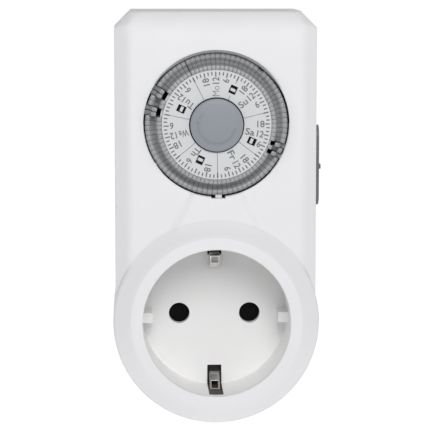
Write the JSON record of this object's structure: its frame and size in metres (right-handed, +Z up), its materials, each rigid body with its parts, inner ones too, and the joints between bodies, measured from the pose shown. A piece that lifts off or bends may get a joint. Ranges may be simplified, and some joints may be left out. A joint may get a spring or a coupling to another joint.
{
  "type": "plug in timer switch",
  "caption": "White plug in mains timer with a weekly dial of push-out tappets above an earthed socket, and an earthed plug behind.",
  "frame": {"origin": "middle of the plug's end face, on the common axis of plug and socket", "axes": "+Z up towards the dial end, +X to the right seen from the front, +Y into the wall along the plug pins"},
  "size_m": [0.0554, 0.0686, 0.1088],
  "materials": {
    "housing_white": "smooth moulded white plastic, satin sheen",
    "insert_white": "smooth moulded white plastic",
    "dial_white": "white moulded plastic with grey print",
    "smoke_grey": "smoky grey moulded plastic",
    "knob_grey": "fine textured grey plastic",
    "switch_grey": "fine textured grey plastic",
    "shutter_black": "black moulded plastic",
    "carrier_black": "black moulded plastic",
    "nickel": "nickel plated, bright",
    "brass": "bare stamped brass",
    "spring_steel": "bright rolled steel",
    "screw_steel": "zinc plated",
    "acetal": "natural acetal, waxy",
    "winding_copper": "enamelled copper wire",
    "bobbin_black": "black moulded plastic",
    "rotor_magnet": "dark bonded magnet",
    "lead_red": "red plastic sleeving",
    "lever_grey": "dark grey acetal"
  },
  "bodies": {
    "housing": {"front_cover": "housing_white", "rear_cover": "housing_white", "plug_body": "insert_white", "opening_guard": "smoke_grey", "socket_insert": "insert_white", "shutter_spring": "spring_steel", "contact_carrier": "carrier_black", "earth_bracket": "nickel", "earth_pin_sleeve": "brass", "live_contact": "brass", "neutral_contact": "brass", "live_pin": "nickel", "neutral_pin": "nickel", "live_feed_bar": "brass", "live_switched_bar": "brass", "neutral_bar": "brass", "dial_clip": "spring_steel", "dial_post": "brass", "front_plate": "acetal", "base_plate": "acetal", "plate_pillars": "acetal", "fixed_arbor": "spring_steel", "motor_cup": "spring_steel", "motor_bobbin": "bobbin_black", "motor_winding": "winding_copper", "motor_pole_plate": "spring_steel", "motor_leads": "lead_red", "lever_pivot_pin": "acetal", "lever_spring": "spring_steel", "switch_case": "bobbin_black", "switch_case_lid": "bobbin_black", "switch_blade": "brass", "switch_fixed_contact": "brass", "detent_spring": "spring_steel", "housing_screws": "screw_steel"},
    "shutter": {"shutter": "shutter_black"},
    "dial": {"dial_wheel": "dial_white", "printed_disc": "dial_white", "centre_knob": "knob_grey", "tappets_in": "smoke_grey"},
    "tappet_right_low": {"tappet_right_low": "smoke_grey"},
    "tappet_right_high": {"tappet_right_high": "smoke_grey"},
    "tappet_left_1": {"tappet_left_1": "smoke_grey"},
    "tappet_left_2": {"tappet_left_2": "smoke_grey"},
    "tappet_left_3": {"tappet_left_3": "smoke_grey"},
    "tappet_left_4": {"tappet_left_4": "smoke_grey"},
    "dial_pinion": {"dial_pinion": "brass", "clutch_spring": "spring_steel"},
    "train_wheel_1": {"train_wheel_1": "acetal"},
    "train_wheel_2": {"train_wheel_2": "acetal"},
    "train_wheel_3": {"train_wheel_3": "acetal"},
    "train_wheel_4": {"train_wheel_4": "acetal"},
    "motor_rotor": {"motor_rotor": "rotor_magnet"},
    "cam_lever": {"cam_lever": "lever_grey"},
    "switch_plunger": {"switch_plunger": "dial_white"},
    "side_switch": {"side_switch": "switch_grey"}
  },
  "joints": [
    {"name": "dial_turn", "type": "hinge", "parent": "housing", "child": "dial", "pos_m": [0, -0.04, 0.0522], "axis": [0, -1, 0], "continuous": true},
    {"name": "dial_pinion_turn", "type": "hinge", "parent": "housing", "child": "dial_pinion", "pos_m": [0.00939, -0.037, 0.06613], "axis": [0, -1, 0], "continuous": true},
    {"name": "train_wheel_4_turn", "type": "hinge", "parent": "housing", "child": "train_wheel_4", "pos_m": [0.00939, -0.033, 0.06613], "axis": [0, -1, 0], "continuous": true},
    {"name": "train_wheel_3_turn", "type": "hinge", "parent": "housing", "child": "train_wheel_3", "pos_m": [0.00039, -0.032, 0.06613], "axis": [0, -1, 0], "continuous": true},
    {"name": "train_wheel_2_turn", "type": "hinge", "parent": "housing", "child": "train_wheel_2", "pos_m": [0.00939, -0.03, 0.06613], "axis": [0, -1, 0], "continuous": true},
    {"name": "train_wheel_1_turn", "type": "hinge", "parent": "housing", "child": "train_wheel_1", "pos_m": [0.00039, -0.029, 0.06613], "axis": [0, -1, 0], "continuous": true},
    {"name": "motor_rotor_turn", "type": "hinge", "parent": "housing", "child": "motor_rotor", "pos_m": [-0.00861, -0.024, 0.06613], "axis": [0, -1, 0], "continuous": true},
    {"name": "cam_lever_turn", "type": "hinge", "parent": "housing", "child": "cam_lever", "pos_m": [0.0106, -0.042, 0.0316], "axis": [0, 1, 0], "range_deg": [-9, 0]},
    {"name": "switch_plunger_slide", "type": "slide", "parent": "housing", "child": "switch_plunger", "axis": [0, 0, 1], "range_m": [0, 0.00112]},
    {"name": "side_switch_slide", "type": "slide", "parent": "housing", "child": "side_switch", "axis": [0, 0, 1], "range_m": [0, 0.005]},
    {"name": "shutter_turn", "type": "hinge", "parent": "housing", "child": "shutter", "pos_m": [0, -0.0285, 0], "axis": [0, -1, 0], "range_deg": [0, 38], "stiffness_Nm_per_rad": 0.0002},
    {"name": "tappet_right_low_slide", "type": "slide", "parent": "dial", "child": "tappet_right_low", "axis": [-0.891, 0, 0.454], "range_m": [0, 0.00167]},
    {"name": "tappet_right_high_slide", "type": "slide", "parent": "dial", "child": "tappet_right_high", "axis": [-0.9487, 0, 0.3161], "range_m": [0, 0.00167]},
    {"name": "tappet_left_1_slide", "type": "slide", "parent": "dial", "child": "tappet_left_1", "axis": [0.8546, 0, -0.5193], "range_m": [0, 0.00167]},
    {"name": "tappet_left_2_slide", "type": "slide", "parent": "dial", "child": "tappet_left_2", "axis": [0.891, 0, -0.454], "range_m": [0, 0.00167]},
    {"name": "tappet_left_3_slide", "type": "slide", "parent": "dial", "child": "tappet_left_3", "axis": [0.9697, 0, -0.2443], "range_m": [0, 0.00167]},
    {"name": "tappet_left_4_slide", "type": "slide", "parent": "dial", "child": "tappet_left_4", "axis": [0.9852, 0, -0.1712], "range_m": [0, 0.00167]}
  ],
  "couplings": [
    {"joint": "dial_pinion_turn", "follows": "dial_turn", "ratio": -6},
    {"joint": "train_wheel_1_turn", "follows": "motor_rotor_turn", "ratio": -0.25},
    {"joint": "train_wheel_2_turn", "follows": "motor_rotor_turn", "ratio": 0.0625},
    {"joint": "train_wheel_3_turn", "follows": "motor_rotor_turn", "ratio": -0.015625},
    {"joint": "train_wheel_4_turn", "follows": "motor_rotor_turn", "ratio": 0.0039062},
    {"joint": "switch_plunger_slide", "follows": "cam_lever_turn", "m_per_rad": -0.0068}
  ]
}
